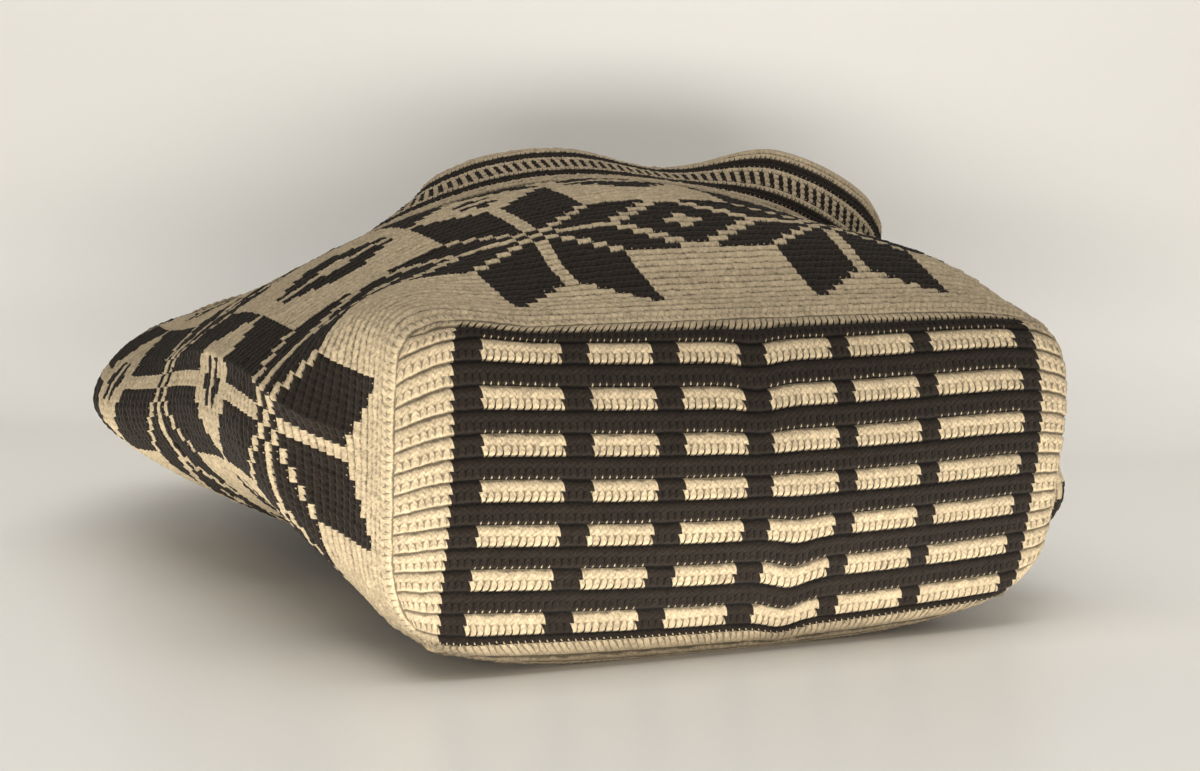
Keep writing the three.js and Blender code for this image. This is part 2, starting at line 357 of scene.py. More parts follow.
@dataclass(frozen=True)
class StarPattern:
    """Eight-pointed stars, diamonds and zigzags of the wall, by counted stitches and rounds."""

    repeat: int = 46
    star_pitch: int = 30
    first_star: int = 17
    star_rows: int = 3
    petal: int = 10
    petal_rounds: int = 5
    lozenge_rounds: int = 4
    lozenge_gap: int = 3
    flower: int = 3
    diamond_rounds: int = 4
    diamond_width: int = 11

    def dark(self, stitch: Array, row: Array) -> Array:
        """Tells which stitches are dark.

        Args:
            stitch: Stitch numbers, counted from the middle of a star.
            row: Round numbers, counted from the base.

        Returns:
            True for each dark stitch.
        """
        half = self.repeat // 2
        beside = (stitch + half) % self.repeat - half
        x = np.where(beside >= 0, beside, -beside - 1)
        last = self.first_star + self.star_pitch * (self.star_rows - 1)
        nearest = np.clip(np.rint((row - self.first_star) / self.star_pitch), 0, self.star_rows - 1)
        y = np.abs(row - (self.first_star + self.star_pitch * nearest)).astype(int)
        between = (row > self.first_star) & (row < last)
        upright = (x >= 1) & (x <= self.petal) & (y > (x + 1) // 2) & (y <= self.petal + (x - 1) // 2)
        sideways = (y >= 1) & (y <= self.petal_rounds) & (x >= 2 * y + 1) & (x < self.petal + 2 * y)
        heart = ((x == 0) & (y == 1)) | ((y == 0) & (x >= 1) & (x <= 2))
        lozenge = (y <= self.lozenge_rounds) & (x >= self.petal + self.lozenge_gap + 2 * y)
        flower = ((y == 0) & (x >= half - self.flower)) | ((y == 1) & (x == half - 1))
        apart, off = self.star_pitch // 2 - y, half - 1 - x
        small = between & (((apart == 1) & (x < self.flower)) | ((apart == 2) & (x < 1)))
        large = between & (apart >= 1) & (apart <= self.diamond_rounds)
        large &= (off < self.diamond_width - 2 * apart) & ~((apart == 1) & (off < 2))
        return upright | sideways | heart | (lozenge & ~flower) | small | large


@dataclass(frozen=True)
class BrickPattern:
    """Rows of cream bricks in the dark field of the base."""

    border: int = 7
    widths: tuple[int, ...] = (4, 11, 4, 9, 4, 9, 4, 10, 3, 10, 3, 13, 3)
    first_row: int = 3
    row_pitch: int = 4
    brick_rows: int = 2
    rows: int = 32

    def dark(self, stitch: Array, row: Array) -> Array:
        """Tells which stitches are dark.

        Args:
            stitch: Stitch numbers from the left end of the base.
            row: Row numbers from the bottom of the base.

        Returns:
            True for each dark stitch.
        """
        edges = np.cumsum((self.border,) + self.widths)
        place = np.searchsorted(edges, stitch, side="right")
        field = (place > 0) & (place < len(edges)) & (row >= self.first_row - 1) & (row < self.rows - 1)
        bricks = (place % 2 == 0) & ((row - self.first_row) % self.row_pitch < self.brick_rows)
        return field & ~(bricks & (row >= self.first_row) & (row < self.rows - 2))


@dataclass(frozen=True)
class LadderPattern:
    """Two dark lines and a ladder of dark rungs along the strap."""

    lines: tuple[int, ...] = (2, 3, 9, 10)
    ladder: tuple[int, int] = (5, 7)

    def dark(self, stitch: Array, row: Array) -> Array:
        """Tells which stitches are dark, by their numbers along and rows across the strap."""
        rungs = (row >= self.ladder[0]) & (row <= self.ladder[1]) & (stitch % 2 == 0)
        return np.isin(row, self.lines) | rungs


@dataclass(frozen=True)
class StitchRelief:
    """Raised form of the stitches, in millimetres and in parts of a stitch."""

    rib: float = 1.05
    gap: float = 0.16
    hole: float = 0.45
    pair: float = 0.0
    chevron: float = 0.05
    lean: float = 0.10
    uneven: float = 0.18
    rib_power: float = 0.5
    post_power: float = 0.8
    shoulder: float = 0.3
    lower_span: Four = (0.1, 0.75, 0.95, 1.15)
    upper_start: Span = (1.0, 1.2)
    upper_gap: float = 0.25
    hole_reach: float = 0.2
    sizes: tuple[int, int] = (128, 512)
    size_range: Span = (0.5, 1.5)

    def height(self, stitch: Array, row: Array, size: Array) -> Array:
        """How far the surface stands out.

        Args:
            stitch: Places counted in stitches.
            row: Places counted in rows.
            size: How plump each place's stitch is.

        Returns:
            Heights above the groove between two rows.
        """
        post = np.abs(np.sin(np.pi * stitch)) ** self.post_power
        if self.pair == 0.0:
            rib = np.abs(np.sin(np.pi * row)) ** self.rib_power
            relief = self.rib * size * rib * (1.0 - self.gap * (1.0 - post))
            return relief - self.hole * (1.0 - rib) * (1.0 - post)
        level = (row + 1.0) % 2.0
        shoulder = smoothstep(np.minimum(level, 2.0 - level), 0.0, self.shoulder)
        bump = np.abs(np.sin(np.pi * (stitch + 0.5))) ** self.post_power
        lower = self.gap * (1.0 - post) * plateau(level, self.lower_span)
        upper = self.upper_gap * self.gap * (1.0 - bump) * smoothstep(level, *self.upper_start)
        holes = self.hole * hill(level, 1.0, self.hole_reach) * (1.0 - post)
        relief = self.rib * size * shoulder * (1.0 - (lower + upper)) - holes
        return relief - self.pair * (1.0 - shoulder)

    def bend(self, points: Array, out: Array, stitch: Array, row: Array, weight: Array,
             steps: tuple[int, int], seed: int) -> Array:
        """Turns a smooth surface into stitches.

        Args:
            points: Smooth surface as lines, columns and coordinates.
            out: Outward direction at each point.
            stitch: Stitch count at each point.
            row: Row count at each point.
            weight: 1 where the stitches are full, 0 where the surface stays smooth.
            steps: Columns in a stitch and lines in a row.
            seed: Seed of the uneven stitches.

        Returns:
            The crocheted surface.
        """
        table = np.random.default_rng(seed).normal(1.0, self.uneven, self.sizes)
        cell = np.floor(row).astype(int) % self.sizes[0], np.floor(stitch).astype(int) % self.sizes[1]
        around = np.gradient(points, axis=1) * steps[0]
        along = np.gradient(points, axis=0) * steps[1]
        dip = self.chevron * np.cos(2.0 * np.pi * stitch) * weight
        slant = self.lean * np.sin(np.pi * (row % 1.0)) * weight
        relief = self.height(stitch, row, np.clip(table[cell], *self.size_range)) * weight
        moved = points + along * dip[..., None] + around * slant[..., None]
        return moved + out * relief[..., None]


def surface_out(points: Array, closed: bool) -> Array:
    """Outward directions of a surface of lines and columns.

    Args:
        points: Surface as lines, columns and coordinates.
        closed: True if the last column lies on the first.

    Returns:
        One direction for each point.
    """
    around = np.gradient(points, axis=1)
    if closed:
        seam = (points[:, 1] - points[:, -2]) / 2
        around[:, 0], around[:, -1] = seam, seam
    return unit(np.cross(around, np.gradient(points, axis=0)))


def place_object(name: str, data: bpy.types.ID) -> Piece:
    """Links new data to the scene.

    Args:
        name: Name of the object.
        data: Its mesh, lamp or camera.

    Returns:
        The new object.
    """
    made = bpy.data.objects.new(name, data)
    bpy.context.scene.collection.objects.link(made)
    return made


@contextmanager
def opened(piece: Piece) -> Iterator[bmesh.types.BMesh]:
    """Opens the mesh of a piece for bmesh operators and writes it back.

    Args:
        piece: The piece to change.

    Yields:
        Its open mesh.
    """
    cloth = bmesh.new()
    cloth.from_mesh(piece.data)
    yield cloth
    cloth.to_mesh(piece.data)
    cloth.free()


def fill_holes(cloth: bmesh.types.BMesh) -> list[bmesh.types.BMFace]:
    """Fills the open borders of a mesh, with one face each."""
    edges = [edge for edge in cloth.edges if edge.is_boundary]
    return bmesh.ops.holes_fill(cloth, edges=edges, sides=0)["faces"]


@dataclass
class StitchSheet:
    """A grid of faces that is bent into crocheted cloth."""

    name: str
    points: Array
    stitch: Array
    row: Array
    marks: dict[str, Array]
    centre: Triple

    def build(self) -> Piece:
        """Makes the grid, bends it and marks its colours.

        Returns:
            The new object, linked to the scene.
        """
        lines, columns = self.points.shape[0] - 1, self.points.shape[1] - 1
        grid = bmesh.new()
        bmesh.ops.create_grid(grid, x_segments=columns, y_segments=lines, size=1.0)
        mesh = bpy.data.meshes.new(self.name)
        grid.to_mesh(mesh)
        grid.free()
        flat = np.empty(len(mesh.vertices) * 3)
        mesh.vertices.foreach_get("co", flat)
        flat = flat.reshape(-1, 3)
        column = np.rint((flat[:, 0] + 1.0) / 2.0 * columns).astype(int)
        line = np.rint((flat[:, 1] + 1.0) / 2.0 * lines).astype(int)
        placed = (self.points[line, column] - np.array(self.centre)) * MM
        mesh.vertices.foreach_set("co", placed.ravel())
        corner = np.empty(len(mesh.loops), dtype=np.int32)
        mesh.loops.foreach_get("vertex_index", corner)
        column, line = column[corner], line[corner]
        maps = {"OFBake": (column / columns, line / lines),
                "stitches": (self.stitch[column], self.row[line])}
        for title, pair in maps.items():
            mesh.uv_layers.new(name=title).uv.foreach_set("vector", np.stack(pair, axis=1).ravel())
        cells = line.reshape(-1, 4).min(axis=1), column.reshape(-1, 4).min(axis=1)
        for title, values in self.marks.items():
            layer = mesh.attributes.new(title, "FLOAT", "FACE")
            layer.data.foreach_set("value", values[cells].astype(np.float32))
        mesh.polygons.foreach_set("use_smooth", np.ones(len(mesh.polygons), dtype=bool))
        mesh.update()
        return place_object(self.name, mesh)


def merge_seams(piece: Piece) -> None:
    """Joins the grid's edges where they meet."""
    with opened(piece) as cloth:
        bmesh.ops.remove_doubles(cloth, verts=cloth.verts, dist=SEAM_GAP)


def declare(piece: Piece, node: Node, material: Material) -> None:
    """Dresses a finished piece, hangs it under the root and hides the solid that it stands for.

    Args:
        piece: The finished piece.
        node: Solid that it stands for.
        material: Yarn of the piece.
    """
    piece.data.materials.append(material)
    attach(piece, "root")
    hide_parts(node.value)
    LOG.info("%s: %d faces", piece.name, len(piece.data.polygons))


def stitch_tones(shape: tuple[int, int], steps: tuple[int, int], seed: int) -> Array:
    """Slightly different shade of each stitch.

    Args:
        shape: Lines and columns of faces.
        steps: Columns in a stitch and lines in a row.
        seed: Seed of the shades.

    Returns:
        One shade for each face, around 0.
    """
    rows, stitches = shape[0] // steps[1] + 1, shape[1] // steps[0] + 1
    draw = np.random.default_rng(seed)
    shades = draw.normal(0.0, 1.0, (rows, stitches)) + draw.normal(0.0, ROW_SHADE, (rows, 1))
    return np.repeat(np.repeat(shades, steps[1], axis=0), steps[0], axis=1)[: shape[0], : shape[1]]


def stitch_marks(pattern: StarPattern | BrickPattern | LadderPattern, column: Array, row: Array,
                 steps: tuple[int, int], seed: int) -> dict[str, Array]:
    """Colours of the faces and of the stitches below and to the left of them.

    Args:
        pattern: Pattern of the cloth.
        column: Stitch number of each column of faces.
        row: Row number of each line of faces.
        steps: Columns in a stitch and lines in a row.
        seed: Seed of the shades.

    Returns:
        One value for each face, by the name of the mark.
    """
    stitch, line = np.meshgrid(column, row)
    places = (stitch, line), (stitch, line - 1), (stitch - 1, line)
    marks = {title: pattern.dark(*place) for title, place in zip(COLOUR_MARKS, places)}
    return marks | {"tone": stitch_tones(stitch.shape, steps, seed)}


@dataclass
class CrochetWall:
    """The wall, worked in rounds from the base to the mouth, as four closed rings and a rolled hem.

    Four rounds or stitches say where a fold starts, is full, begins to fade and ends. The puff's rounds
    are its middle and its reach.
    """

    shape: BagShape
    pattern: StarPattern = StarPattern()
    relief: StitchRelief = StitchRelief()
    stitches: int = 276
    star_offset: float = 3.7
    lean: Span = (1.6, -1.6)
    lean_rounds: Span = (5.0, 20.0)
    lean_stitches: Four = (10.0, 46.0, 94.0, 138.0)
    rounds: int = 92
    round_height: float = 4.32
    edge_ease: Span = (1.0, 0.5)
    columns: int = 4
    lines: int = 3
    inner_lines: int = 6
    splits: tuple[int, ...] = (-1, 22, 46, 70, 92)
    hem_turns: tuple[float, ...] = (-25, 0, 25, 50, 75, 100, 130, 160)
    hem_rounds: Span = (0.1, 1.0)
    hem_out: float = 1.4
    hem_depth: float = 2.6
    hem_plump: float = 0.45
    fold_stitch: float = 3.5
    fold_widths: Span = (7.0, 3.0)
    fold_height: float = 8.0
    fold_rounds: Four = (3.0, 12.0, 30.0, 60.0)
    puff_stitch: float = 8.0
    puff_height: float = 8.0
    puff_rounds: Span = (76.0, 13.0)
    tuck_rounds: Span = (68.0, 92.0)
    tuck_width: float = 16.0
    tuck: Triple = (20.0, 0.0, -4.0)
    bulge_stitch: float = 145.0
    bulge_height: float = 22.0
    bulge_width: float = 8.0
    bulge_rounds: Four = (0.5, 6.0, 9.0, 27.0)
    seed: int = 11

    def places(self, row: Array) -> tuple[Array, Array]:
        """Places of the lines, round the edge of the base too.

        Args:
            row: Round count of each line.

        Returns:
            Distance from the base and inset of each line.
        """
        turn = np.radians(self.shape.edge_turn) * np.clip(-row, 0.0, 1.0)
        radius = self.shape.edge_radius
        y = np.where(row < 0.0, -radius * np.sin(turn), row * self.round_height)
        return y, radius * (1.0 - np.cos(turn))

    def counts(self) -> Array:
        """Stitch counts of the columns."""
        return np.arange(self.stitches * self.columns + 1) / self.columns

    def face(self, row: Array, y: Array, inset: Array) -> Array:
        """A smooth face of the wall, with the lean of the upper panel and the folds.

        Args:
            row: Round count of each line.
            y: Distance of each line from the base.
            inset: How far inside the outer face each line lies.

        Returns:
            Points as lines, columns and coordinates.
        """
        count = self.counts()
        lean = self.lean[0] + self.lean[1] * smoothstep(row, *self.lean_rounds)
        leaning = count + self.star_offset + lean[:, None] * plateau(count, self.lean_stitches)
        sides = self.shape.even_sides(leaning / self.stitches, np.maximum(y, 0.0))
        return self.folded(self.shape.points(sides, y, inset), row)

    def folded(self, points: Array, row: Array) -> Array:
        """Creases the left gusset, tucks in the left corner of the mouth and swells the right gusset.

        Args:
            points: Smooth face as lines, columns and coordinates.
            row: Round count of each line.

        Returns:
            The folded face.
        """
        half = self.stitches / 2
        count = (self.counts() + half) % self.stitches - half
        past = count - self.fold_stitch
        ridge = np.exp(-np.abs(past) / np.where(past > 0.0, *self.fold_widths))
        rise = self.fold_height * plateau(row, self.fold_rounds)[:, None] * ridge
        puff = hill(row, *self.puff_rounds)[:, None] * hill(count, self.puff_stitch, self.tuck_width)
        bulge = hill(self.counts(), self.bulge_stitch, self.bulge_width)
        bulge = self.bulge_height * plateau(row, self.bulge_rounds)[:, None] * bulge
        rise = rise + self.puff_height * puff + bulge
        first, last = self.tuck_rounds
        pull = np.clip((row - first) / (last - first), 0.0, 1.0)[:, None] ** 2
        pull = pull * hill(count, 0.0, self.tuck_width)
        out = surface_out(points, True)
        return points + out * rise[..., None] + np.array(self.tuck) * pull[..., None]

    def outer(self) -> tuple[Array, Array]:
        """Makes the crocheted outer face of all rounds.

        Returns:
            Points, and the round count of each line.
        """
        first, last = self.splits[0], self.splits[-1]
        row = first + np.arange((last - first) * self.lines + 1) / self.lines
        smooth = self.face(row, *self.places(row))
        stitch, rounds = np.meshgrid(self.counts(), row)
        weight = plateau(rounds, (first, first + self.edge_ease[0], last - self.edge_ease[1], last))
        points = self.relief.bend(smooth, surface_out(smooth, True), stitch, rounds, weight,
                                  (self.columns, self.lines), self.seed)
        points[..., 2] = np.maximum(points[..., 2], 0.0)
        return points, row

    def hem(self) -> Array:
        """Rolled edge of the mouth, from the outer face over to the inner face.

        Returns:
            Points of the hem's lines.
        """
        turn = np.radians(np.array(self.hem_turns))
        half = (self.shape.fabric + self.hem_out) / 2
        y = self.shape.height - self.hem_depth * (1.0 - np.sin(turn))
        inset = half - self.hem_out - half * np.cos(turn)
        points = self.face(np.full_like(y, self.rounds), y, inset)
        plump = self.hem_plump * np.abs(np.sin(np.pi * self.counts() / 2.0))[None, :, None]
        return points + surface_out(points, True) * plump

    def build(self, material: Material) -> None:
        """Makes and dresses the rings.

        Args:
            material: Yarn of the body.
        """
        outer, rounds = self.outer()
        stitch, steps = self.counts(), (self.columns, self.lines)
        for number, (first, last) in enumerate(zip(self.splits, self.splits[1:])):
            low, high = ((end - self.splits[0]) * self.lines for end in (first, last))
            face, row = [outer[low:high + 1]], [rounds[low:high + 1]]
            if last == self.splits[-1]:
                face.append(self.hem())
                row.append(last + np.linspace(*self.hem_rounds, len(self.hem_turns)))
            inside = np.linspace(last, first, self.inner_lines + 1)
            y, _ = self.places(inside)
            back = self.face(inside, y, np.full_like(y, self.shape.fabric))
            points = np.concatenate(face + [back, outer[low:low + 1]])
            points[:, -1] = points[:, 0]
            row = np.concatenate(row + [inside, [first]])
            marks = stitch_marks(self.pattern, whole(stitch[:-1]), whole(row[:-1]), steps,
                                 self.seed + number)
            for title in COLOUR_MARKS:
                marks[title][high - low:] = False
            name = f"bag_wall_{number + 1}"
            piece = StitchSheet(name, points, stitch, row, marks, self.shape.centre).build()
            merge_seams(piece)
            declare(piece, Node.BODY, material)


@dataclass
class CrochetBase:
    """The base panel, worked in rows and slightly bulged by the filling.

    A crease has a stitch, a reach and a dip in rows. A squeeze has a strength and a reach in rows. The
    drifts are the shares of 1, u, w, uu, uw and ww, with u and w from -1 to 1 across and up the panel.
    """

    shape: BagShape
    pattern: BrickPattern = BrickPattern()
    relief: StitchRelief = StitchRelief(rib=0.6, gap=0.75, hole=0.35, pair=0.45, chevron=0.0, lean=0.06)
    stitches: int = 100
    edge_ease: float = 0.8
    columns: int = 5
    lines: int = 4
    rim: float = 4.5
    corner_pull: float = 14.0
    corner_round: int = 4
    stitch_drift: tuple[float, ...] = (-0.45, -0.13, 0.54, 0.13, -0.85, -2.26)
    row_drift: tuple[float, ...] = (0.32, -0.57, 0.60, 1.20, 0.32, 0.36)
    drift_power: int = 8
    upper_crease: Triple = (50.5, 3.5, 0.5)
    lower_crease: Triple = (57.0, 3.2, 0.8)
    crease_start: Span = (-0.1, 0.6)
    low_squeeze: Span = (0.6, 0.6)
    top_squeeze: Span = (1.1, 0.8)
    back_map: Triple = (0.5, 0.2, 2.0)
    seed: int = 47

    def spread(self, half: float, steps: int) -> Array:
        """Places of equally wide stitches across the panel and round its edge, from -1 to 1.

        Args:
            half: Half size of the panel without its border.
            steps: Number of steps from edge to edge.

        Returns:
            One place for each line, as a share of the half size inside the border.
        """
        radius, start = self.shape.edge_radius, math.radians(self.shape.edge_turn)
        bend = radius * (math.pi / 2 - start)
        run = np.linspace(-1.0, 1.0, steps + 1)
        reach = np.abs(run) * (half - radius + bend)
        turn = start + np.clip(half - radius + bend - reach, 0.0, bend) / radius
        flat = np.where(reach < half - radius, reach, half - radius * (1.0 - np.cos(turn)))
        return np.sign(run) * flat / (half - radius * (1.0 - math.cos(start)))

    def counts(self) -> tuple[Array, Array]:
        """Stitch counts of the columns and row counts of the lines."""
        return (np.arange(self.stitches * self.columns + 1) / self.columns,
                np.arange(self.pattern.rows * self.lines + 1) / self.lines)

    def drifted(self) -> tuple[Array, Array]:
        """Where the pull of the filling takes each stitch and row.

        Returns:
            Stitch and row counts at which the grid's points lie on an even panel.
        """
        stitch, row = np.meshgrid(*self.counts())
        u, w = 2.0 * stitch / self.stitches - 1.0, 2.0 * row / self.pattern.rows - 1.0
        terms = (np.ones_like(u), u, w, u * u, u * w, w * w)
        free = (1.0 - u ** self.drift_power) * (1.0 - w ** self.drift_power)
        along, up = (sum(share * term for share, term in zip(drift, terms))
                     for drift in (self.stitch_drift, self.row_drift))
        for (place, reach, dip), half in ((self.upper_crease, w), (self.lower_crease, -w)):
            up = up - dip * hill(stitch, place, reach) * smoothstep(half, *self.crease_start)
        up = up + self.low_squeeze[0] * hill(row, self.pattern.first_row - 1, self.low_squeeze[1])
        up = up - self.top_squeeze[0] * hill(row, self.pattern.rows - 1.0, self.top_squeeze[1])
        return stitch + along * free, row + up * free

    def smooth(self) -> Array:
        """Panel without its stitches.

        Returns:
            Points as rows of lines, columns and coordinates.
        """
        shape, radius = self.shape, self.shape.edge_radius
        width = float(shape.half_width_at(np.zeros(1))[0])
        depth = shape.base_depth / 2
        take = radius * (1.0 - math.cos(math.radians(shape.edge_turn)))
        u, w = (np.interp(place, count, self.spread(half, len(count) - 1))
                for place, count, half in zip(self.drifted(), self.counts(), (width, depth)))
        power = shape.squareness_at(np.zeros_like(u), u < 0.0, w > 0.0)
        corner = 1.0 - 0.5 ** (1.0 / power)
        ring = np.maximum(np.maximum(np.abs(u), np.abs(w)), TINY)
        edge_u, edge_w = u / ring, w / ring
        edge_x = edge_u * (1.0 - corner * edge_w ** self.corner_round)
        edge_z = edge_w * (1.0 - corner * edge_u ** self.corner_round)
        size = np.maximum((np.abs(edge_x) ** power + np.abs(edge_z) ** power) ** (1.0 / power), TINY)
        pull = ring ** self.corner_pull
        x = (u + (ring * edge_x / size - u) * pull) * (width - take)
        z = (w + (ring * edge_z / size - w) * pull) * (depth - take)
        reach_x, reach_z = np.abs(x) / width, np.abs(z) / depth
        rho = (reach_x ** power + reach_z ** power) ** (1.0 / power)
        slope_x, slope_z = ((reach / np.maximum(rho, TINY)) ** (power - 1.0) / half
                            for reach, half in ((reach_x, width), (reach_z, depth)))
        inside = (1.0 - rho) / np.maximum(np.hypot(slope_x, slope_z), TINY)
        short = radius - np.clip(inside, 0.0, radius)
        y = -np.sqrt(np.maximum(radius ** 2 - short ** 2, 0.0))
        y = y - shape.base_bulge * (1.0 - u ** 2) * (1.0 - w ** 2)
        height = z + depth
        aside = shape.swell(x, y, height)
        return np.stack([x + aside, y, height + shape.corner_rise(x, y, height)], axis=-1)

    def build(self, material: Material) -> None:
        """Makes and dresses the panel.

        Args:
            material: Yarn of the body.
        """
        smooth = self.smooth()
        column, line = self.counts()
        stitch, row = np.meshgrid(column, line)
        beside = np.minimum(stitch, self.stitches - stitch)
        edge = np.minimum(beside, np.minimum(row, self.pattern.rows - row))
        steps = (self.columns, self.lines)
        points = self.relief.bend(smooth, surface_out(smooth, False), stitch, row,
                                  smoothstep(edge, 0.0, self.edge_ease), steps, self.seed)
        points[..., 2] = np.maximum(points[..., 2], 0.0)
        marks = stitch_marks(self.pattern, whole(column[:-1]), whole(line[:-1]), steps, self.seed)
        piece = StitchSheet("bag_base", points, column, line, marks, self.shape.centre).build()
        self.close(piece)
        declare(piece, Node.BODY, material)

    def close(self, piece: Piece) -> None:
        """Gives the panel its thickness: a rim turned inwards and a plain inner face.

        Args:
            piece: The open panel.
        """
        right, up, scale = self.back_map
        with opened(piece) as cloth:
            border = [edge for edge in cloth.edges if edge.is_boundary]
            grown = bmesh.ops.extrude_edge_only(cloth, edges=border)["geom"]
            rim = [part for part in grown if isinstance(part, bmesh.types.BMVert)]
            bmesh.ops.translate(cloth, verts=rim, vec=(0.0, self.rim * MM, 0.0))
            back = fill_holes(cloth)
            bake = cloth.loops.layers.uv["OFBake"]
            for loop in (loop for face in back for loop in face.loops):
                place = loop.vert.co
                loop[bake].uv = (right + place.x * scale, up + place.z * scale)
            bmesh.ops.triangulate(cloth, faces=back)
            bmesh.ops.recalc_face_normals(cloth, faces=cloth.faces)


@dataclass
class ShoulderStrap:
    """The crocheted strap, thrown back over the upper panel and sewn inside the mouth at both ends.

    The route has an angle round the bag, a share of the way from the mouth to the base and a lean in
    degrees for each of its points.
    """

    shape: BagShape
    pattern: LadderPattern = LadderPattern()
    relief: StitchRelief = StitchRelief(rib=0.8, gap=0.3, hole=0.4, chevron=0.06, lean=0.10)
    width: float = 44.0
    thickness: float = 4.0
    rows: int = 13
    stitch: float = 2.15
    tail: float = 28.0
    rise: float = 4.5
    edge_ease: Span = (-0.2, 0.5)
    back_round: float = 0.6
    fold_steps: int = 12
    loop_steps: int = 400
    heading_step: float = 0.01
    chord_step: float = 0.01
    chord_steps: int = 200
    columns: int = 4
    lines: int = 3
    back_lines: int = 8
    seed: int = 83
    route: tuple[Triple, ...] = (
        (88, 0, 0), (78, 0.11, 1), (69.5, 0.21, 5), (65, 0.325, 12), (68, 0.43, 20), (80, 0.494, 30),
        (99, 0.528, 32), (116, 0.567, 20), (133, 0.602, 48), (154, 0.612, 52), (170, 0.562, 32),
        (174, 0.353, 5), (168, 0, 0),
    )

    def route_at(self, share: Array) -> Array:
        """Angle, distance and lean along the route, on one smooth curve.

        Args:
            share: Shares of the route, from its left to its right end.

        Returns:
            One row of three values for each share.
        """
        knots = np.array(self.route)
        knots = np.concatenate([[2 * knots[0] - knots[1]], knots, [2 * knots[-1] - knots[-2]]])
        place = np.clip(share, 0.0, 1.0) * (len(self.route) - 1)
        first = np.minimum(place.astype(int), len(self.route) - 2)
        t = (place - first)[:, None]
        before, start, end, after = (knots[first + step] for step in range(4))
        lead, trail = (end - before) / 2, (after - start) / 2
        cubic = (2 * t ** 3 - 3 * t ** 2 + 1) * start + (t ** 3 - 2 * t ** 2 + t) * lead
        return cubic + (-2 * t ** 3 + 3 * t ** 2) * end + (t ** 3 - t ** 2) * trail

    def wall_at(self, share: Array) -> tuple[Array, Array, Array]:
        """Places of the wall under the route.

        Args:
            share: Shares of the route.

        Returns:
            Points, with their angles and their distances from the base.
        """
        route = self.route_at(share)
        turn, y = np.radians(route[:, 0]), self.shape.height * (1.0 - route[:, 1])
        return self.shape.spots(turn, y), turn, y

    def loop(self) -> tuple[Array, Array]:
        """The strap's lie on the upper panel.

        Returns:
            Points of its lower edge, and directions across it.
        """
        share = np.linspace(0.0, 1.0, self.loop_steps + 1)
        wall, turn, y = self.wall_at(share)
        heading = self.wall_at(share + self.heading_step)[0] - self.wall_at(share - self.heading_step)[0]
        around, along, out = self.shape.frames(turn, y)
        side = unit(np.stack([-(heading * along).sum(axis=1), (heading * around).sum(axis=1)], axis=1))
        flat = around * side[:, :1] + along * side[:, 1:]
        lean = np.radians(self.route_at(share)[:, 2:])
        return wall + out * self.rise, flat * np.cos(lean) + out * np.sin(lean)

    def tail_across(self, turn: float, side: float, inset: float) -> Array:
        """Direction across a sewn end, as a chord of the wall's inner face.

        Args:
            turn: Angle of the end.
            side: 1 to go round the bag over the top, -1 to go back.
            inset: How far the end lies inside the outer face.

        Returns:
            The chord's direction.
        """
        y, deep = np.array([self.shape.height]), np.array([inset])
        turns = turn + side * self.chord_step * np.arange(self.chord_steps)
        reach = self.shape.points(self.shape.turned(turns[None], y), y, deep)[0]
        reach = reach - reach[0]
        return unit(reach[int(np.argmax(np.linalg.norm(reach, axis=1) >= self.width))])

    def fold(self, degrees: float, side: float) -> tuple[Array, Array]:
        """A sewn end: over the hem and down inside the mouth.

        Args:
            degrees: Angle of the end on the hem.
            side: 1 for the left end, -1 for the right end.

        Returns:
            Points of the edge from the hem inwards, and directions across.
        """
        turn, top = np.radians([degrees]), np.array([self.shape.height])
        around, along, out = (part[0] for part in self.shape.frames(turn, top - self.shape.rise_step))
        inset = self.shape.fabric + self.rise
        radius = (self.rise + inset) / 2
        share = (np.arange(self.fold_steps) + 1.0) / self.fold_steps
        past = np.append(radius * np.sin(np.pi * share), [-self.tail / 2, -self.tail])
        lift = np.append(self.rise - radius + radius * np.cos(np.pi * share), [-inset, -inset])
        share = np.append(share, [1.0, 1.0])[:, None]
        edge = self.shape.spots(turn, top)[0] + along * past[:, None] + out * lift[:, None]
        inside = self.tail_across(turn[0], side, inset)
        return edge, unit(around * side * (1.0 - share) + inside * share)

    def seats(self) -> tuple[Array, Array, Array]:
        """The whole strap, from one sewn end to the other, at even steps.

        Returns:
            Points of its lower edge, directions across it and out of its face.
        """
        left, right = self.fold(self.route[0][0], 1.0), self.fold(self.route[-1][0], -1.0)
        edge, across = (np.concatenate([start[::-1], middle, end])
                        for start, middle, end in zip(left, self.loop(), right))
        middle = edge + across * self.width / 2
        run = np.append(0.0, np.cumsum(np.linalg.norm(np.diff(middle, axis=0), axis=1)))
        count = round(run[-1] / self.stitch)
        even = np.linspace(0.0, run[-1], count * self.columns + 1)
        edge, across = (np.stack([np.interp(even, run, part[:, axis]) for axis in range(3)], axis=1)
                        for part in (edge, across))
        across = unit(across)
        out = unit(np.cross(np.gradient(edge + across * self.width / 2, axis=0), across))
        LOG.info("strap: %d stitches, %.0f mm", count, run[-1])
        return edge, across, out

